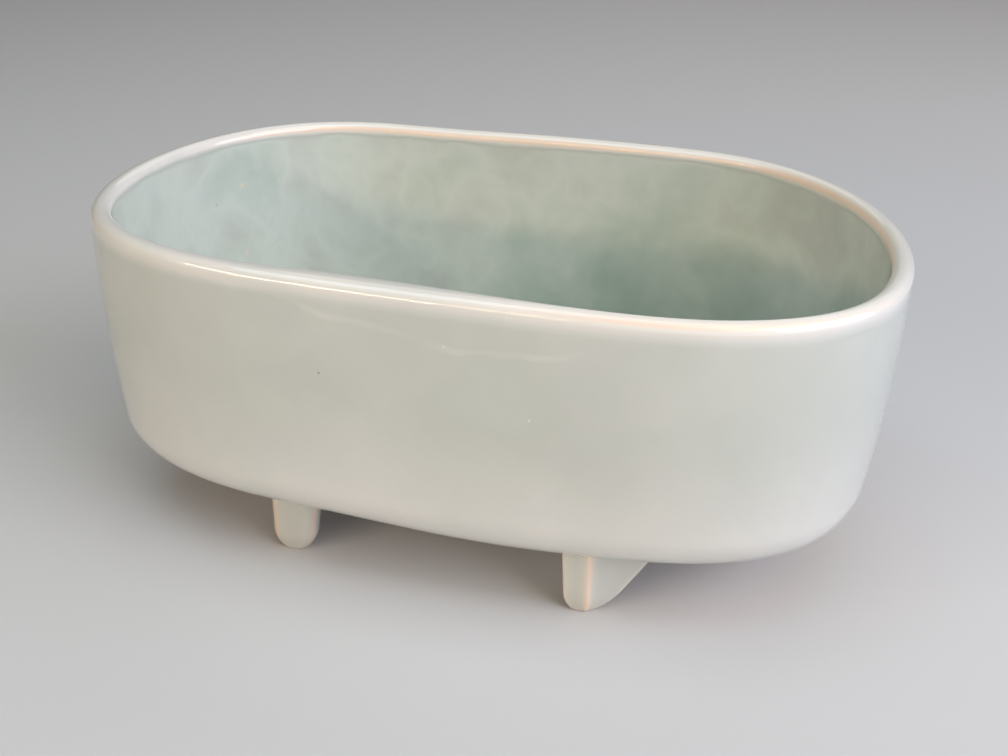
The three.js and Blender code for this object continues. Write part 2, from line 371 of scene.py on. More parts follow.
class Tree:
    """A node tree that is written as short sums. A value may be a socket or a constant."""

    def __init__(self, tree):
        self.tree = tree

    def node(self, kind, settings=None, **inputs):
        """Adds a node, with its settings and its inputs by their spoken names."""
        made = self.tree.nodes.new(kind)
        for key, value in (settings or {}).items():
            setattr(made, key, value)
        for key, value in inputs.items():
            self.feed(made.inputs[key.replace("_", " ")], value)
        return made

    def feed(self, socket, value):
        """Links a socket to value, or sets it."""
        if isinstance(value, bpy.types.NodeSocket):
            self.tree.links.new(value, socket)
        elif value is not None:
            socket.default_value = value

    def math(self, operation, *values, clamp=False):
        """A Math node."""
        made = self.tree.nodes.new("ShaderNodeMath")
        made.operation = operation
        made.use_clamp = clamp
        for socket, value in zip(made.inputs, values):
            self.feed(socket, value)
        return made.outputs[0]

    def vector_math(self, operation, *values, output=0):
        """A Vector Math node. A single scale value goes to its Scale input."""
        made = self.tree.nodes.new("ShaderNodeVectorMath")
        made.operation = operation
        self.feed(made.inputs[0], values[0])
        if len(values) > 1:
            self.feed(made.inputs["Scale" if operation == "SCALE" else 1], values[1])
        return made.outputs[output]

    def attribute(self, name, kind="FLOAT"):
        """A named number, in a tree of Geometry Nodes."""
        made = self.tree.nodes.new("GeometryNodeInputNamedAttribute")
        made.data_type = kind
        made.inputs["Name"].default_value = name
        return made.outputs["Attribute"]


print("helpers ready")

# %% Lay out the path and the section as lines
SWEEP_TO_CENTRE = 10              # rings that shrink from FLAT_INSET to the middle
WELD = 0.01 * MM                  # points closer than this become one


def with_centre_rings(points, numbers):
    """Adds rings at both ends that shrink to the middle."""
    shrink = np.arange(SWEEP_TO_CENTRE, 0, -1) / SWEEP_TO_CENTRE
    first = np.repeat(points[:1], SWEEP_TO_CENTRE, axis=0)
    last = np.repeat(points[-1:], SWEEP_TO_CENTRE, axis=0)
    for row, amount in enumerate(shrink):
        # a hair of slope keeps the points apart until the tree pulls them to the middle
        first[row, 0] += amount * MM
        last[-1 - row, 0] += amount * MM
    grown = {"to_centre": np.concatenate([shrink, np.zeros(len(points)), shrink[::-1]])}
    for key, values in numbers.items():
        ends = [np.full(SWEEP_TO_CENTRE, values[end]) for end in (0, -1)]
        grown[key] = np.concatenate([ends[0], values, ends[1]])
    return np.concatenate([first, points, last]), grown


section_numbers = {
    "follows_rim": follows_rim,
    "follows_floor": follows_floor,
    "follows_join": follows_join,
    "inner_lip": inner_lip,
    "outer_lip": outer_lip,
    "crest": crest,
    "inside": glazed_inside,
}
swept, swept_numbers = with_centre_rings(section, section_numbers)
# Curve to Mesh turns the section's X outwards and its Y downwards
section_line = line_mesh(
    "bowl_section",
    np.stack([-swept[:, 0], -swept[:, 1], np.zeros(len(swept))], axis=-1),
    False,
    swept_numbers,
)
outward = np.stack([np.cos(turns), np.sin(turns), np.zeros(PATH_POINTS)], axis=-1)
path_line = line_mesh(
    "rim_path",
    np.concatenate([rim_points, np.zeros((PATH_POINTS, 1))], axis=1),
    True,
    {
        "outward": outward,
        "dip": dip,
        "sag": sag,
        "join": join,
        "inner_lip_shows": inner_lip_shows,
        "outer_lip_shows": outer_lip_shows,
    },
)
print("path points:", PATH_POINTS, "section points:", len(swept))


# %% Build the sweep
def bowl_tree():
    """Geometry Nodes: the section swept round the path, with the marks of the hand."""
    group = bpy.data.node_groups.new("swept_bowl", "GeometryNodeTree")
    face = group.interface
    face.new_socket("Geometry", in_out="INPUT", socket_type="NodeSocketGeometry")
    for name, kind in (
        ("Section", "NodeSocketObject"),
        ("Steps Round", "NodeSocketInt"),
        ("Wall Wave", "NodeSocketFloat"),
        ("Wall Wave Scale", "NodeSocketFloat"),
        ("Finger Marks", "NodeSocketFloat"),
        ("Finger Mark Scale", "NodeSocketFloat"),
        ("Glaze", "NodeSocketMaterial"),
    ):
        face.new_socket(name, in_out="INPUT", socket_type=kind)
    face.new_socket("Geometry", in_out="OUTPUT", socket_type="NodeSocketGeometry")
    t = Tree(group)
    given = group.nodes.new("NodeGroupInput").outputs
    path = t.node("GeometryNodeMeshToCurve", Mesh=given["Geometry"])
    path = t.node("GeometryNodeResampleCurve", Curve=path.outputs[0], Count=given["Steps Round"])
    path = t.node("GeometryNodeSetCurveNormal", {"mode": "Z_UP"}, Curve=path.outputs[0])
    shape = t.node("GeometryNodeObjectInfo", Object=given["Section"])
    shape = t.node("GeometryNodeMeshToCurve", Mesh=shape.outputs["Geometry"])
    sweep = t.node("GeometryNodeCurveToMesh", Curve=path.outputs[0], Profile_Curve=shape.outputs[0])
    place = group.nodes.new("GeometryNodeInputPosition").outputs[0]
    centred = t.vector_math("MULTIPLY", place, (-1.0, -1.0, 0.0))
    centred = t.vector_math("SCALE", centred, t.attribute("to_centre"))
    moved = t.node("GeometryNodeSetPosition", Geometry=sweep.outputs[0], Offset=centred)
    # the noise only ever draws the skin in, so that it stays inside the CAD solid's reach
    drawn_in = t.math("MULTIPLY", t.attribute("join"), t.attribute("follows_join"))
    for depth, scale, detail in (
        (given["Wall Wave"], given["Wall Wave Scale"], 1.0),
        (given["Finger Marks"], given["Finger Mark Scale"], 0.0),
    ):
        noise = t.node("ShaderNodeTexNoise", Vector=place, Scale=scale, Detail=detail)
        drawn_in = t.math("ADD", drawn_in, t.math("MULTIPLY", noise.outputs[0], depth))
    dipped = t.math("MULTIPLY", t.attribute("dip"), t.attribute("follows_rim"))
    sunk = t.math("MULTIPLY", t.attribute("sag"), t.attribute("follows_floor"))
    free = t.math("SUBTRACT", t.attribute("to_centre"), 1.0)
    inwards = t.math("MULTIPLY", drawn_in, free)
    downwards = t.math("MULTIPLY", t.math("ADD", dipped, sunk), free)
    sideways = t.vector_math("SCALE", t.attribute("outward", "FLOAT_VECTOR"), inwards)
    down = t.node("ShaderNodeCombineXYZ", Z=downwards).outputs[0]
    moved = t.node(
        "GeometryNodeSetPosition",
        Geometry=moved.outputs[0],
        Offset=t.vector_math("ADD", sideways, down),
    )
    inner = t.math("MULTIPLY", t.attribute("inner_lip"), t.attribute("inner_lip_shows"))
    outer = t.math("MULTIPLY", t.attribute("outer_lip"), t.attribute("outer_lip_shows"))
    thin = t.node(
        "GeometryNodeStoreNamedAttribute",
        {"data_type": "FLOAT", "domain": "POINT"},
        Geometry=moved.outputs[0],
        Name="thin_glaze",
        Value=t.math("ADD", inner, outer),
    )
    closed = t.node("GeometryNodeMergeByDistance", Geometry=thin.outputs[0], Distance=WELD)
    smooth = t.node("GeometryNodeSetShadeSmooth", Geometry=closed.outputs[0], Shade_Smooth=True)
    real = t.node("GeometryNodeRealizeInstances", Geometry=smooth.outputs[0])
    dressed = t.node("GeometryNodeSetMaterial", Geometry=real.outputs[0], Material=given["Glaze"])
    result = group.nodes.new("NodeGroupOutput")
    group.links.new(dressed.outputs[0], result.inputs[0])
    return group


sweep_rule = bowl_tree()
print("nodes of the sweep:", len(sweep_rule.nodes))


# %% Run the tree and keep a plain mesh
def made_real(maker, group, values, name):
    """Runs a tree on the object maker and returns the plain mesh object that comes out."""
    modifier = maker.modifiers.new("rule", "NODES")
    modifier.node_group = group
    for item in group.interface.items_tree:
        if item.in_out == "INPUT" and item.name in values:
            modifier[item.identifier] = values[item.name]
    graph = bpy.context.evaluated_depsgraph_get()
    mesh = bpy.data.meshes.new_from_object(maker.evaluated_get(graph))
    maker.modifiers.remove(modifier)
    mesh.name = name
    return placed(name, mesh)


bowl_glaze = bpy.data.materials.new("celadon_glaze")
# the feet's copy of the glaze takes darker colours: painted shade
shaded_foot_glaze = bpy.data.materials.new("celadon_glaze_shaded_on_feet")
bowl_values = {
    "Section": section_line,
    "Steps Round": 480,
    "Wall Wave": 0.5 * MM,
    "Wall Wave Scale": 24.0,
    "Finger Marks": 0.08 * MM,
    "Finger Mark Scale": 90.0,
    "Glaze": bowl_glaze,
}
bowl = made_real(path_line, sweep_rule, bowl_values, "glazed_bowl")
for helper in (path_line, section_line):
    bpy.data.objects.remove(helper)
SPENT_NUMBERS = (
    "outward", "dip", "sag", "join", "follows_rim", "follows_floor", "follows_join", "to_centre",
    "inner_lip", "outer_lip", "inner_lip_shows", "outer_lip_shows",
)
for spent in SPENT_NUMBERS:
    bowl.data.attributes.remove(bowl.data.attributes[spent])
print("bowl faces:", len(bowl.data.polygons), "numbers:", [a.name for a in bowl.data.attributes])

# %% Seat the bowl on its body
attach(bowl, "root")
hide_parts("wall", "floor")
heights = [vertex.co.z / MM for vertex in bowl.data.vertices]
print("the bowl reaches from", round(min(heights), 2), "to", round(max(heights), 2), "mm")

# %% [markdown]
# ## The feet
# Each foot is a wedge of clay cut with a knife: a flat front face, an outer facet that runs back at an
# angle, and an inner one. Its tip was rubbed round with a thumb. A foot could be cut from a box with
# modifiers, but a stack of rings is easier to steer: the plan of the foot shrinks from ring to ring
# towards the tip, and the top rings are scribed to the underside, where a fine groove is left by the
# tool that pressed the foot on.

# %% Name the feet's sizes
FOOT_TOP_FACET = 27.5 * MM
FOOT_TIP_INNER = 8 * MM
FOOT_TOP_INNER = 24 * MM
FOOT_FLAT_SHARE = 0.32
FOOT_SINK = 1.0 * MM              # how deep the foot's top is pressed into the bowl's clay
GROOVE_DEPTH = 0.6 * MM
GROOVE_WIDTH = 1.2 * MM
# The arris is the upright edge between a foot's flat face and its outer facet. "arris_x" and "setback"
# place it. "face" is the face's width under the bowl and "taper" what it loses down to the tip. "turn"
# is the outer facet's direction in degrees and "tip_facet" its length at the tip. The inner facet
# turns by "wedge" more. "edge" is the radius of the edges and "nose" the height of the round tip.
LEFT_FOOT = {
    "arris_x": 53.5 * MM, "setback": 14.9 * MM, "face": 16.2 * MM, "taper": 3 * MM,
    "tip_facet": 5.5 * MM, "turn": 63, "wedge": 8, "edge": 4.3 * MM, "nose": 6.5 * MM,
}
RIGHT_FOOT = {
    "arris_x": 44.4 * MM, "setback": 10.4 * MM, "face": 9.1 * MM, "taper": 1.3 * MM,
    "tip_facet": 7 * MM, "turn": 38, "wedge": 15, "edge": 0.9 * MM, "nose": 6 * MM,
}
EDGE_STEPS = 10
SIDE_STEPS = 14
NOSE_STEPS = 16
SHAFT_STEPS = 22
PLANS = 33                        # plans worked out over the height
TALLEST_SHARE = 1.6               # the last of them, as a share of the feet's height
SCRIBE_ROUNDS = 4                 # how often the foot's top is fitted to the bowl's underside
# how far up the groove, and which share of its depth it has there
GROOVE_PROFILE = ((0.3, 0.8), (0.6, 1.0), (1.0, 0.9))
print("left foot's face:", LEFT_FOOT["face"] / MM, "mm, right foot's:", RIGHT_FOOT["face"] / MM, "mm")


# %% Work out a foot's outline
def aim(degrees):
    """The direction of an angle in the foot's plan."""
    return np.array([math.cos(math.radians(degrees)), math.sin(math.radians(degrees))])


def rounded(corners, radius):
    """A convex outline with round corners and evenly divided sides, and each point's distance from
    the middle of the nearest corner."""
    count = len(corners)
    arcs, half_arcs = [], []
    for i, corner in enumerate(corners):
        arriving = corner - corners[i - 1]
        arriving = arriving / np.linalg.norm(arriving)
        leaving = corners[(i + 1) % count] - corner
        leaving = leaving / np.linalg.norm(leaving)
        inwards = (leaving - arriving) / np.linalg.norm(leaving - arriving)
        half_bend = math.acos(arriving @ leaving) / 2
        centre = corner + inwards * radius / math.cos(half_bend)
        start = math.atan2(-arriving[0], arriving[1])
        angles = start + 2 * half_bend * np.linspace(0, 1, EDGE_STEPS + 1)
        arcs.append(centre + radius * np.stack([np.cos(angles), np.sin(angles)], axis=-1))
        half_arcs.append(radius * half_bend)
    points, away = [], []
    for i in range(count):
        following = (i + 1) % count
        points.extend(arcs[i])
        away.extend(half_arcs[i] * np.abs(np.linspace(-1, 1, EDGE_STEPS + 1)))
        side = np.linspace(arcs[i][-1], arcs[following][0], SIDE_STEPS + 1)[1:-1]
        points.extend(side)
        from_here = half_arcs[i] + np.linalg.norm(side - arcs[i][-1], axis=1)
        from_next = half_arcs[following] + np.linalg.norm(side - arcs[following][0], axis=1)
        away.extend(np.minimum(from_here, from_next))
    return np.array(points), np.array(away)


def foot_plan(foot, share):
    """The plan at a share of the feet's height. X runs outwards and Y runs in under the bowl."""
    inner_front = np.array([-foot["face"] + foot["taper"] * (1 - share), 0.0])
    facet = foot["tip_facet"] + (FOOT_TOP_FACET - foot["tip_facet"]) * share
    inner = FOOT_TIP_INNER + (FOOT_TOP_INNER - FOOT_TIP_INNER) * share
    outer_back = aim(foot["turn"]) * facet
    inner_back = inner_front + aim(foot["turn"] + foot["wedge"]) * inner
    return rounded([inner_front, np.zeros(2), outer_back, inner_back], foot["edge"])


STEEPEST = 0.98                   # the turn is read no further out than this share of its radius
flat_from = wall_inset(SEAM) + LOWER_TURN
dense_rim = oval(np.linspace(0, 2 * math.pi, PATH_POINTS + 1)[:-1])


def underside_at(points):
    """The level of the bowl's outside above each point [x, y]."""
    gaps = np.linalg.norm(points[:, None, :] - dense_rim[None, :, :], axis=2)
    out = np.clip(flat_from - gaps.min(axis=1), 0, LOWER_TURN * STEEPEST)
    return SEAM - np.sqrt(LOWER_TURN ** 2 - out ** 2)


print("points round a foot:", len(foot_plan(LEFT_FOOT, 1.0)[0]))


# %% Stack the rings of a foot
def plans_by_height(foot, end, depth):
    """The foot's plans at even shares of the height, as seen from above, and their corner distances.
    end is +1 at the right, depth +1 at the back."""
    shares = np.linspace(0, TALLEST_SHARE, PLANS)
    plans, away = [], []
    for share in shares:
        plan, distance = foot_plan(foot, share)
        face_y = RIM_WIDTH / 2 - foot["setback"]
        x = end * (foot["arris_x"] + plan[:, 0])
        y = depth * (face_y - plan[:, 1])
        plans.append(np.column_stack([x, y]))
        away.append(distance)
    return shares, np.array(plans), np.array(away)


def at_levels(shares, values, levels):
    """Reads values, which are given at shares, at each point's own level, short of the last plan."""
    place = np.clip(levels / UNDERSIDE / shares[1], 0, len(shares) - 1.001)
    low = place.astype(int)
    part = (place - low).reshape(-1, *[1] * (values.ndim - 2))
    rows = np.arange(len(levels))
    return values[low, rows] * (1 - part) + values[low + 1, rows] * part


def foot_rings(foot, end, depth):
    """Rings of points from the tip up, and each point's distance from an edge."""
    shares, plans, away = plans_by_height(foot, end, depth)
    nose = foot["nose"]
    tips = list(nose * (1 - np.cos(np.linspace(0, math.pi / 2, NOSE_STEPS + 1)[:-1])))
    rings, distances = [], []

    def add(levels, drawn, shrink):
        """Adds the ring at each point's own level, drawn in to its middle and shrunk by a length."""
        ring = at_levels(shares, plans, levels)
        middle = ring.mean(axis=0)
        spokes = ring - middle
        length = np.linalg.norm(spokes, axis=1, keepdims=True)
        ring = middle + spokes * (drawn - shrink / length)
        rings.append(np.column_stack([ring, levels]))
        distances.append(at_levels(shares, away, levels))

    count = plans.shape[1]
    for level in tips:
        drop = 1 - level / nose
        drawn = FOOT_FLAT_SHARE + (1 - FOOT_FLAT_SHARE) * math.sqrt(1 - drop * drop)
        add(np.full(count, level), drawn, 0.0)
    top = np.full(count, UNDERSIDE)
    for _ in range(SCRIBE_ROUNDS):
        # the plan widens as the underside rises, so the two are found in turns
        top = underside_at(at_levels(shares, plans, top))
    groove = top - GROOVE_WIDTH
    for share in np.linspace(0, 1, SHAFT_STEPS + 1):
        add(nose + (groove - nose) * share, 1.0, 0.0)
    for share, deep in GROOVE_PROFILE:
        add(groove + (top - groove) * share, 1.0, GROOVE_DEPTH * deep)
    add(top + FOOT_SINK, 1.0, 2 * GROOVE_DEPTH)
    return np.array(rings), np.array(distances)


print("rings of a foot:", len(foot_rings(LEFT_FOOT, -1, -1)[0]))


# %% Make the four feet
EDGE_THIN, EDGE_REACH = 0.45, 1.0 * MM       # how thin the glaze is on an edge, and how far round it
EDGE_SOFT, SOFT_REACH = 0.20, 2.6 * MM       # a wider and weaker thinning under that
TIP_THIN, TIP_REACH = 0.45, 1.6 * MM
TIP_MIDDLE_THIN = 0.4


def ring_faces(rings, count):
    """Quads between rings of count points, from the first ring to the last."""
    faces = []
    for r in range(rings - 1):
        for i in range(count):
            j = (i + 1) % count
            faces.append((r * count + i, r * count + j, (r + 1) * count + j, (r + 1) * count + i))
    return faces


def make_foot(name, node, foot, end, depth):
    """A glazed foot on the body of its CAD node."""
    points, away = foot_rings(foot, end, depth)
    count = points.shape[1]
    edge = EDGE_THIN * hump(away, 0, EDGE_REACH) + EDGE_SOFT * hump(away, 0, SOFT_REACH)
    near_tip = TIP_THIN * hump(points[:, :, 2], 0, TIP_REACH)
    tip, head = points[0].mean(axis=0), points[-1].mean(axis=0)
    vertices = [*points.reshape(-1, 3), tip, head]
    faces = ring_faces(len(points), count)
    tip_number, head_number = len(vertices) - 2, len(vertices) - 1
    last = (len(points) - 1) * count
    for i in range(count):
        j = (i + 1) % count
        faces.append((tip_number, j, i))
        faces.append((head_number, last + i, last + j))
    if end * depth > 0:
        # two of the feet run the other way round, so their faces are turned to look outwards
        faces = [face[::-1] for face in faces]
    mesh = bpy.data.meshes.new(name)
    mesh.from_pydata([tuple(v) for v in vertices], [], faces)
    mesh.polygons.foreach_set("use_smooth", [True] * len(mesh.polygons))
    numbers = {
        "thin_glaze": [*np.maximum(edge, near_tip).ravel(), TIP_MIDDLE_THIN, 0.0],
        "crest": [0.0] * len(vertices),
        "inside": [0.0] * len(vertices),
    }
    for key, values in numbers.items():
        mesh.attributes.new(key, "FLOAT", "POINT").data.foreach_set("value", values)
    mesh.materials.append(shaded_foot_glaze)
    made = placed(name, mesh)
    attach(made, "root")
    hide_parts(node)
    return made


feet = []
for depth_name, depth in (("front", -1), ("back", 1)):
    for end_name, end, foot in (("left", -1, LEFT_FOOT), ("right", 1, RIGHT_FOOT)):
        node = f"{depth_name}_{end_name}_foot"
        feet.append(make_foot(f"glazed_{node}", node, foot, end, depth))
print("feet:", [made.name for made in feet])

# %% [markdown]
# ## The glaze
# A celadon glaze is a thick, slightly milky glass over pale clay. Where it lies thick it is blue-green,
# where it is thin it warms to cream, and on edges the clay shows through as peach. On this bowl it is
# thinner low down on the outside, on the crest of the rim and on every edge. The inside is given more
# thickness, which makes it lighter: painted light, bounced round inside the bowl. Low in the right half
# it is given still more, which makes it deeper and darker: the painted shadow of the near rim. So its
# colour is worked out from one number, the thickness, which slow noise makes cloudy. Painting each
# place by hand would also work, but then nothing would follow the shape. The gloss is a clear coat
# over a softer body, with a fine bump for the skin of the glaze.

# %% Name the glaze's colours and thicknesses
# PEACH is the clay under thin glaze, made light enough to also paint the highlight on the far rim's
# inner edge
PEACH = (0.89, 0.71, 0.57, 1)
CREAM = (0.82, 0.77, 0.69, 1)
WHITE_CELADON = (0.675, 0.665, 0.615, 1)
PALE_CELADON = (0.525, 0.545, 0.49, 1)
# CELADON, the inside's colour, is lighter than PALE_CELADON: painted light, bounced round inside the
# bowl
CELADON = (0.62, 0.66, 0.59, 1)
DEEP_CELADON = (0.36, 0.45, 0.385, 1)
GLAZE_STOPS = (
    (0.00, PEACH),
    (0.14, CREAM),
    (0.28, WHITE_CELADON),
    (0.46, PALE_CELADON),
    (0.62, CELADON),
    (1.00, DEEP_CELADON),
)
# painted shade: the feet take the same glaze in darker colours, for the shade they stand in under the
# bowl
SHADED_FOOT_STOPS = (
    (0.00, (0.78, 0.62, 0.49, 1)),
    (0.20, (0.59, 0.57, 0.49, 1)),
    (0.45, (0.42, 0.44, 0.395, 1)),
    (1.00, (0.34, 0.37, 0.32, 1)),
)
OUTSIDE_THICKNESS = 0.45
LOW_THINNER = 0.17                # low down on the outside the glaze lies thinner
LOW_FROM, LOW_TO = 72 * MM, 24 * MM
# painted light: extra thickness takes the inside to the lighter CELADON colour
INSIDE_PAINTED_LIGHTER = 0.17
SHADOW_DEEPER = 0.20               # painted shadow of the near rim, low inside the right half
SHADOW_FROM, SHADOW_TO = 80 * MM, 56 * MM
SHADOW_LEFT, SHADOW_RIGHT = -30 * MM, 35 * MM
CREST_THINNER = 0.23
LIP_THINNER = 0.48
CLOUD_SCALE = 16.0                # slow drifts of thickness, about 60 mm across
MOTTLE_SCALE = 45.0               # brush marks and pooling, about 22 mm across
GRAIN_SCALE = 700.0               # the glaze's own fine grain
CLOUD_DRIFT = 0.12
MOTTLE_DRIFT = 0.12
OUTSIDE_CALM = 0.2                # the share of the drifts that the outside shows
# painted reflection: how much paler the line makes the glaze colour
REFLECTION_STRENGTH = 0.07
NOISE_RANGE = (0.3, 0.7)          # noise rarely leaves it
RAGGED_RANGE = (0.35, 0.65)       # where the mottle is between these, the thin glaze on an edge
RAGGED_SHARES = (0.7, 1.1)        # shows with these shares of its strength
WOBBLE_HEIGHT = 0.03 * MM
GRAIN_HEIGHT = 0.0025 * MM
BODY_ROUGHNESS = (0.34, 0.46)
BODY_IOR, BODY_SPECULAR = 1.5, 0.15
COAT_IOR, COAT_ROUGHNESS = 1.6, 0.02
print("glaze colours:", len(GLAZE_STOPS), "on the feet:", len(SHADED_FOOT_STOPS))


# %% Helpers for materials
def ramp(tree, value, stops):
    """A colour ramp over value."""
    made = tree.tree.nodes.new("ShaderNodeValToRGB")
    made.color_ramp.interpolation = "LINEAR"
    elements = made.color_ramp.elements
    while len(elements) < len(stops):
        elements.new(1.0)
    for element, (place, colour) in zip(elements, stops):
        element.position = place
        element.color = colour
    tree.feed(made.inputs[0], value)
    return made.outputs[0]


def spread(tree, value, low, high, to_low=0.0, to_high=1.0, soft=False):
    """Maps low..high to to_low..to_high, clamped. A soft one eases in and out."""
    made = tree.tree.nodes.new("ShaderNodeMapRange")
    made.interpolation_type = "SMOOTHSTEP" if soft else "LINEAR"
    tree.feed(made.inputs["Value"], value)
    for name, number in (("From Min", low), ("From Max", high), ("To Min", to_low), ("To Max", to_high)):
        made.inputs[name].default_value = number
    return made.outputs["Result"]


def noise(tree, place, scale, detail=2.0, roughness=0.5, distortion=0.0):
    """Noise of 0 to 1 at a place."""
    made = tree.node(
        "ShaderNodeTexNoise", Vector=place, Scale=scale, Detail=detail,
        Roughness=roughness, Distortion=distortion,
    )
    return made.outputs[0]


def mixed(tree, share, first, second):
    """Colour first at share 0 and second at share 1."""
    made = tree.tree.nodes.new("ShaderNodeMix")
    made.data_type = "RGBA"
    tree.feed(made.inputs[0], share)
    tree.feed(made.inputs[6], first)
    tree.feed(made.inputs[7], second)
    return made.outputs[2]


def number_on_mesh(tree, name):
    """A named number of the mesh, in a material."""
    made = tree.tree.nodes.new("ShaderNodeAttribute")
    made.attribute_name = name
    return made.outputs["Fac"]


print("material helpers ready")

# %% [markdown]
# ## A painted reflection and spots
# A thin pale line, a painted reflection, wanders over the front from under the rim on the left down
# past the middle and up a little again. It could be a thin strip of mesh, but it is only colour in
# the glaze. So a curve node holds its level along the bowl, and a Map Range turns the distance from it
# into a mask. A few spots are where the glaze crawled, pitted or picked up iron. They are set one by
# one, because on a real pot they are few and each is different.

# %% Name the painted reflection line and the spots
# painted reflection: where the pale line lies along the front
REFLECTION_FROM, REFLECTION_TO = -80 * MM, 45 * MM
REFLECTION_LOW, REFLECTION_HIGH = 78 * MM, 98 * MM
REFLECTION_POINTS = (
    (-75, 95.3), (-60, 94.8), (-48, 93.7), (-28, 90.5), (-9, 87.6), (6, 85.1), (25, 85.9), (38, 88.3),
)
REFLECTION_CORE, REFLECTION_WIDTH = 0.2 * MM, 1.5 * MM     # from the line's middle, full and faded out
REFLECTION_WAVER = 1.2 * MM
REFLECTION_BEGINS, REFLECTION_ENDS = (0.02, 0.2), (0.88, 0.98)   # it fades in and out between these shares
REFLECTION_BREAKS, REFLECTION_FAINTEST = (0.35, 0.6), 0.35       # noise from this range weakens it, down to this
REFLECTION_FRONT = (-60 * MM, -50 * MM)
IRON = (0.42, 0.30, 0.19, 1)
WHITE_CRAWL = (0.80, 0.78, 0.72, 1)
CREAM_CRAWL = (0.76, 0.68, 0.52, 1)
DARK_PIT = (0.22, 0.22, 0.19, 1)
# each spot's colour, place and radius in millimetres, and how strongly it shows
SPOTS = (
    (DARK_PIT, (-29.7, -72.1, 72.4), 0.5, 0.8),
    (WHITE_CRAWL, (27.7, -72.0, 67.4), 0.5, 0.7),
    (WHITE_CRAWL, (5.0, -72.6, 85.5), 0.5, 0.5),
    (WHITE_CRAWL, (21.1, -72.4, 95.6), 0.5, 0.7),
    (CREAM_CRAWL, (-102.2, 34.9, 80.8), 1.4, 0.7),
    (IRON, (-107.2, 25.0, 76.3), 0.9, 0.35),
    (IRON, (-98.6, 40.1, 75.8), 0.9, 0.25),
    (WHITE_CRAWL, (-93.4, 46.3, 79.8), 1.3, 0.3),
    (CREAM_CRAWL, (-101.9, 33.7, 55.7), 1.5, 0.4),
)
SPOT_CORE, SPOT_EDGE = 0.35, 1.1  # as shares of the radius
SPOT_RAGGED_SCALE = 600.0
print("points of the line:", len(REFLECTION_POINTS), "spots:", len(SPOTS))


# %% Build the masks of the painted reflection line and the spots
def painted_reflection_line(t, place, waver):
    """1 on the painted reflection line, on the front of the bowl only."""
    x, y, z = t.node("ShaderNodeSeparateXYZ", Vector=place).outputs
    along = spread(t, x, REFLECTION_FROM, REFLECTION_TO)
    curve = t.tree.nodes.new("ShaderNodeFloatCurve")
    points = curve.mapping.curves[0].points
    while len(points) < len(REFLECTION_POINTS):
        points.new(0.5, 0.5)
    for point, (at_x, at_z) in zip(points, REFLECTION_POINTS):
        point.location = (
            (at_x * MM - REFLECTION_FROM) / (REFLECTION_TO - REFLECTION_FROM),
            (at_z * MM - REFLECTION_LOW) / (REFLECTION_HIGH - REFLECTION_LOW),
        )
    curve.mapping.update()
    t.feed(curve.inputs["Value"], along)
    level = spread(t, curve.outputs[0], 0, 1, REFLECTION_LOW, REFLECTION_HIGH)
    level = t.math("ADD", level, spread(t, waver, *NOISE_RANGE, -REFLECTION_WAVER, REFLECTION_WAVER))
    gap = t.math("ABSOLUTE", t.math("SUBTRACT", z, level))
    line = spread(t, gap, REFLECTION_CORE, REFLECTION_WIDTH, 1, 0, soft=True)
    begins = spread(t, along, *REFLECTION_BEGINS, soft=True)
    ends = t.math("MULTIPLY", begins, spread(t, along, *REFLECTION_ENDS, 1, 0))
    line = t.math("MULTIPLY", line, ends)
    line = t.math("MULTIPLY", line, spread(t, waver, *REFLECTION_BREAKS, 1.0, REFLECTION_FAINTEST))
    return t.math("MULTIPLY", line, spread(t, y, *REFLECTION_FRONT, 1, 0))


def with_spots(t, place, colour):
    """The colour with each spot laid over it."""
    ragged = t.node("ShaderNodeTexNoise", Vector=place, Scale=SPOT_RAGGED_SCALE, Detail=1.0)
    rough_place = t.vector_math("SUBTRACT", ragged.outputs[1], (0.5, 0.5, 0.5))
    for spot_colour, middle, radius, strength in SPOTS:
        jitter = t.vector_math("SCALE", rough_place, radius * MM)
        moved = t.vector_math("ADD", place, jitter)
        gap = t.vector_math("DISTANCE", moved, [c * MM for c in middle], output=1)
        core, edge = SPOT_CORE * radius * MM, SPOT_EDGE * radius * MM
        mask = spread(t, gap, core, edge, strength, 0, soft=True)
        colour = mixed(t, mask, colour, spot_colour)
    return colour


print("masks to lay over the glaze:", 1 + len(SPOTS))


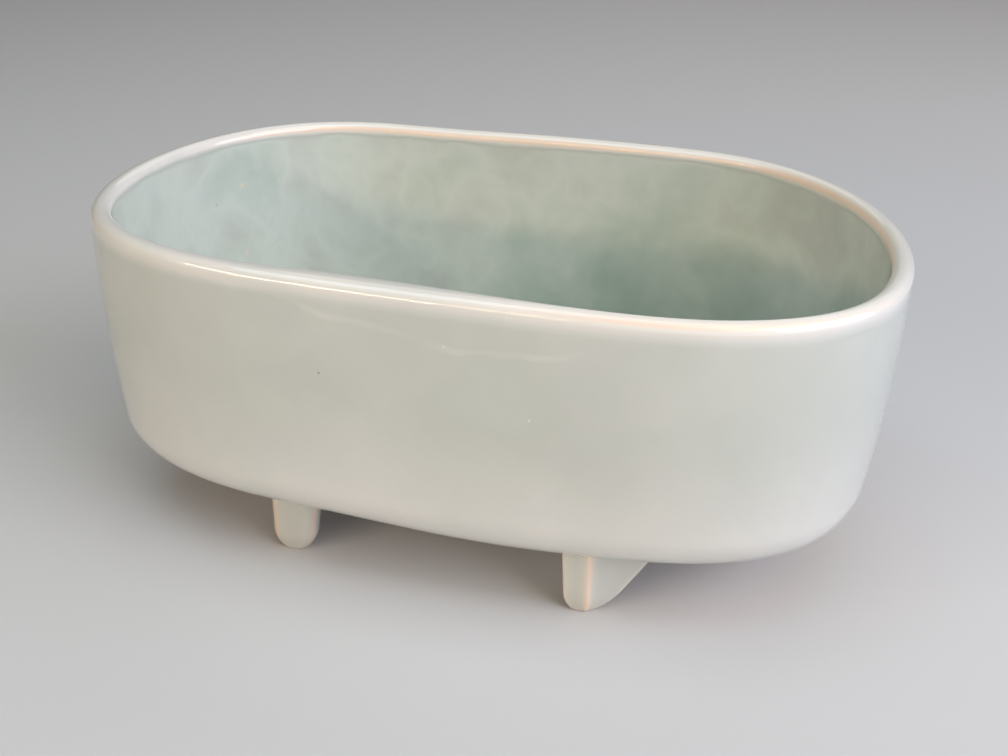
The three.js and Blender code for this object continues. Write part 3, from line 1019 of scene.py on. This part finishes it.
# %% Build the glaze
def glaze(material, stops, with_spots_and_reflection):
    """Fills a material with the celadon glaze, whose colours are stops over its thickness."""
    material.use_nodes = True
    tree = material.node_tree
    tree.nodes.clear()
    t = Tree(tree)
    place = tree.nodes.new("ShaderNodeTexCoord").outputs["Object"]
    clouds = noise(t, place, CLOUD_SCALE, 2.0, 0.5)
    mottle = noise(t, place, MOTTLE_SCALE, 3.0, 0.55, 0.25)
    wobble = noise(t, place, MOTTLE_SCALE, 0.0)
    inside = number_on_mesh(t, "inside")

    # drifts are faint outside and stronger inside, where the glaze was swilled round and ran back
    slow = spread(t, clouds, *NOISE_RANGE, -CLOUD_DRIFT, CLOUD_DRIFT)
    quick = spread(t, mottle, *NOISE_RANGE, -MOTTLE_DRIFT, MOTTLE_DRIFT)
    drift = t.math("MULTIPLY", t.math("ADD", slow, quick), spread(t, inside, 0, 1, OUTSIDE_CALM, 1.0))
    # painted light: the inside is given more thickness, which makes it lighter
    thickness = t.math("ADD", drift, spread(t, inside, 0, 1, 0, INSIDE_PAINTED_LIGHTER))
    thickness = t.math("ADD", thickness, OUTSIDE_THICKNESS)
    along, _, level = t.node("ShaderNodeSeparateXYZ", Vector=place).outputs
    # painted shadow: low inside the right half the colour is drawn deeper and darker, where the near
    # rim's shadow falls
    painted_shadow = t.math("MULTIPLY", inside, spread(t, level, SHADOW_FROM, SHADOW_TO, 0, SHADOW_DEEPER, soft=True))
    painted_shadow = t.math("MULTIPLY", painted_shadow, spread(t, along, SHADOW_LEFT, SHADOW_RIGHT, soft=True))
    thickness = t.math("ADD", thickness, painted_shadow)
    low = spread(t, level, LOW_FROM, LOW_TO, 0, LOW_THINNER, soft=True)
    low = t.math("MULTIPLY", low, t.math("SUBTRACT", 1.0, inside))
    thickness = t.math("SUBTRACT", thickness, low)
    crest = t.math("MULTIPLY", number_on_mesh(t, "crest"), CREST_THINNER)
    thickness = t.math("SUBTRACT", thickness, crest)
    ragged = spread(t, mottle, *RAGGED_RANGE, *RAGGED_SHARES)
    ragged = t.math("MULTIPLY", number_on_mesh(t, "thin_glaze"), ragged)
    thickness = t.math("SUBTRACT", thickness, t.math("MULTIPLY", ragged, LIP_THINNER), clamp=True)
    if with_spots_and_reflection:
        # painted reflection: a pale line is laid into the colour on the front
        line = painted_reflection_line(t, place, mottle)
        thickness = t.math("SUBTRACT", thickness, t.math("MULTIPLY", line, REFLECTION_STRENGTH), clamp=True)
    colour = ramp(t, thickness, stops)
    if with_spots_and_reflection:
        colour = with_spots(t, place, colour)

    grain = noise(t, place, GRAIN_SCALE, 1.0)
    height = t.math("MULTIPLY", wobble, WOBBLE_HEIGHT)
    height = t.math("ADD", height, t.math("MULTIPLY", grain, GRAIN_HEIGHT))
    bump = t.node("ShaderNodeBump", Strength=1.0, Distance=1.0, Height=height)
    shader = tree.nodes.new("ShaderNodeBsdfPrincipled")
    t.feed(shader.inputs["Base Color"], colour)
    t.feed(shader.inputs["Roughness"], spread(t, mottle, *NOISE_RANGE, *BODY_ROUGHNESS))
    t.feed(shader.inputs["Normal"], bump.outputs[0])
    t.feed(shader.inputs["Coat Normal"], bump.outputs[0])
    shader.inputs["IOR"].default_value = BODY_IOR
    shader.inputs["Specular IOR Level"].default_value = BODY_SPECULAR
    shader.inputs["Coat Weight"].default_value = 1.0
    shader.inputs["Coat Roughness"].default_value = COAT_ROUGHNESS
    shader.inputs["Coat IOR"].default_value = COAT_IOR
    out = tree.nodes.new("ShaderNodeOutputMaterial")
    tree.links.new(shader.outputs[0], out.inputs[0])


glaze(bowl_glaze, GLAZE_STOPS, with_spots_and_reflection=True)
# painted shade: the feet's glaze is darker
glaze(shaded_foot_glaze, SHADED_FOOT_STOPS, with_spots_and_reflection=False)
print("glaze nodes:", len(bowl_glaze.node_tree.nodes))

# %% [markdown]
# ## The floor
# In a studio a sheet of pale paper lies under the object and rolls up behind it. A plane and a wall
# would be simpler, but they meet in a line. One sheet that turns up in a quarter circle, far behind
# the bowl, shows no horizon.

# %% Make the floor
FLOOR_REACH = 2.4
FLOOR_FRONT = -1.6
BACKDROP_AT = 1.3
BACKDROP_TURN = 0.6
BACKDROP_HEIGHT = 1.8
BACKDROP_STEPS = 24
FLOOR_COLOUR = (0.60, 0.59, 0.58, 1)
PAPER_ROUGHNESS, PAPER_SPECULAR = 0.9, 0.1


def make_floor():
    """A sheet that runs back, turns up in a quarter circle and ends as a wall."""
    profile = [(FLOOR_FRONT, 0.0)]
    for angle in np.radians(np.linspace(0, 90, BACKDROP_STEPS + 1)):
        y = BACKDROP_AT + BACKDROP_TURN * math.sin(angle)
        profile.append((y, BACKDROP_TURN * (1 - math.cos(angle))))
    profile.append((BACKDROP_AT + BACKDROP_TURN, BACKDROP_HEIGHT))
    vertices = [(x, y, z) for y, z in profile for x in (-FLOOR_REACH, FLOOR_REACH)]
    faces = [(2 * i, 2 * i + 1, 2 * i + 3, 2 * i + 2) for i in range(len(profile) - 1)]
    mesh = bpy.data.meshes.new("floor_sheet")
    mesh.from_pydata(vertices, [], faces)
    mesh.polygons.foreach_set("use_smooth", [True] * len(mesh.polygons))
    return placed("floor_sheet", mesh)


floor = make_floor()
floor_paper = bpy.data.materials.new("pale_paper")
floor_paper.use_nodes = True
paper = floor_paper.node_tree.nodes["Principled BSDF"]
paper.inputs["Base Color"].default_value = FLOOR_COLOUR
paper.inputs["Roughness"].default_value = PAPER_ROUGHNESS
paper.inputs["Specular IOR Level"].default_value = PAPER_SPECULAR
floor.data.materials.append(floor_paper)
floor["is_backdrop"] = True
print("floor of", len(floor.data.polygons), "faces")

# %% [markdown]
# ## The light
# Soft studio light. One large lamp would be simpler, but a glossy glaze mirrors every lamp, so each
# one here has its own work. A large bluish lamp on the right lights the right end and, over the rim,
# the inside of the left end. A golden one higher up adds warmth from that side, and a cool one overhead
# fills the bowl. Two long, slim, warm tubes on the left light the front. A narrow amber strip, low in
# front on the left, draws the crisp line on the near rim: it stands where the camera's view, mirrored
# in the rim, meets it. A weak reflector low in front lifts the shade, and a warm lamp lights the back.

# %% Hang the lamps
SKY, SKY_STRENGTH = (0.90, 0.93, 1.0, 1), 0.08
BLUE = (0.77, 0.79, 1.0)
COOL = (0.66, 0.86, 1.0)
GOLD = (1.0, 0.90, 0.64)
WARM = (1.0, 0.88, 0.76)
AMBER = (1.0, 0.68, 0.34)


def lamp(name, place, towards, along, size, power, colour):
    """A soft rectangular lamp at place that shines towards a direction. Its long side lies along."""
    data = bpy.data.lights.new(name, "AREA")
    data.shape = "RECTANGLE"
    data.size, data.size_y = size
    data.energy = power
    data.color = colour
    made = placed(name, data)
    back_side = -Vector(towards).normalized()
    short_side = back_side.cross(Vector(along)).normalized()
    long_side = short_side.cross(back_side)
    turn = Matrix((long_side, short_side, back_side)).transposed().to_4x4()
    made.matrix_world = Matrix.Translation(place) @ turn
    return made


# name, place, direction, the long side's direction, size, power and colour, in metres and watts
lamp("window_side", (1.14, -0.30, 0.60), (-1.14, 0.30, -0.54), (0.3, 1.14, 0), (1.3, 0.9), 15.6, BLUE)
lamp("high_right", (0.8, -0.5, 1.1), (-0.8, 0.5, -1.0), (0.5, 0.8, 0), (1.2, 0.9), 6.1, GOLD)
lamp("overhead", (-0.1, -0.2, 1.25), (0.1, 0.2, -1.2), (1, 0, 0), (1.2, 0.7), 5.6, COOL)
lamp("low_left", (-0.5, -1.35, 0.45), (0.5, 1.35, -0.35), (1.35, -0.5, 0), (0.8, 0.08), 3.1, AMBER)
lamp("reflector", (0.4, -0.80, 0.07), (-0.4, 0.80, -0.01), (1, 0.5, 0), (1.0, 0.12), 0.6, COOL)
lamp("behind", (0.0, 1.0, 1.1), (0, -1, -1), (1, 0, 0), (1.4, 0.8), 3.0, WARM)
lamp("tube_near", (-0.65, -1.40, 0.50), (0.85, 0, -0.53), (0, 1, 0), (1.80, 0.02), 7.8, WARM)
lamp("tube_far", (-1.25, -1.30, 0.47), (0.9, 0, -0.3), (0, 1, 0), (0.75, 0.02), 0.4, WARM)

world = bpy.data.worlds.new("soft_room")
bpy.context.scene.world = world
world.use_nodes = True
sky = world.node_tree.nodes["Background"]
sky.inputs["Color"].default_value = SKY
sky.inputs["Strength"].default_value = SKY_STRENGTH
bpy.context.scene.view_settings.view_transform = "Standard"

# %% [markdown]
# ## Measuring and finishing
# Both boxes, of the CAD part and of the visual model, are worked out and printed. The
# visual model may not outgrow the CAD box.

# %% Work out and print both boxes
look_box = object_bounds()
sizes = {"cad": [list(corner) for corner in cad_box], "visual": [list(corner) for corner in look_box]}
for name, corners in sizes.items():
    print(name, [[round(c / MM, 2) for c in corner] for corner in corners])
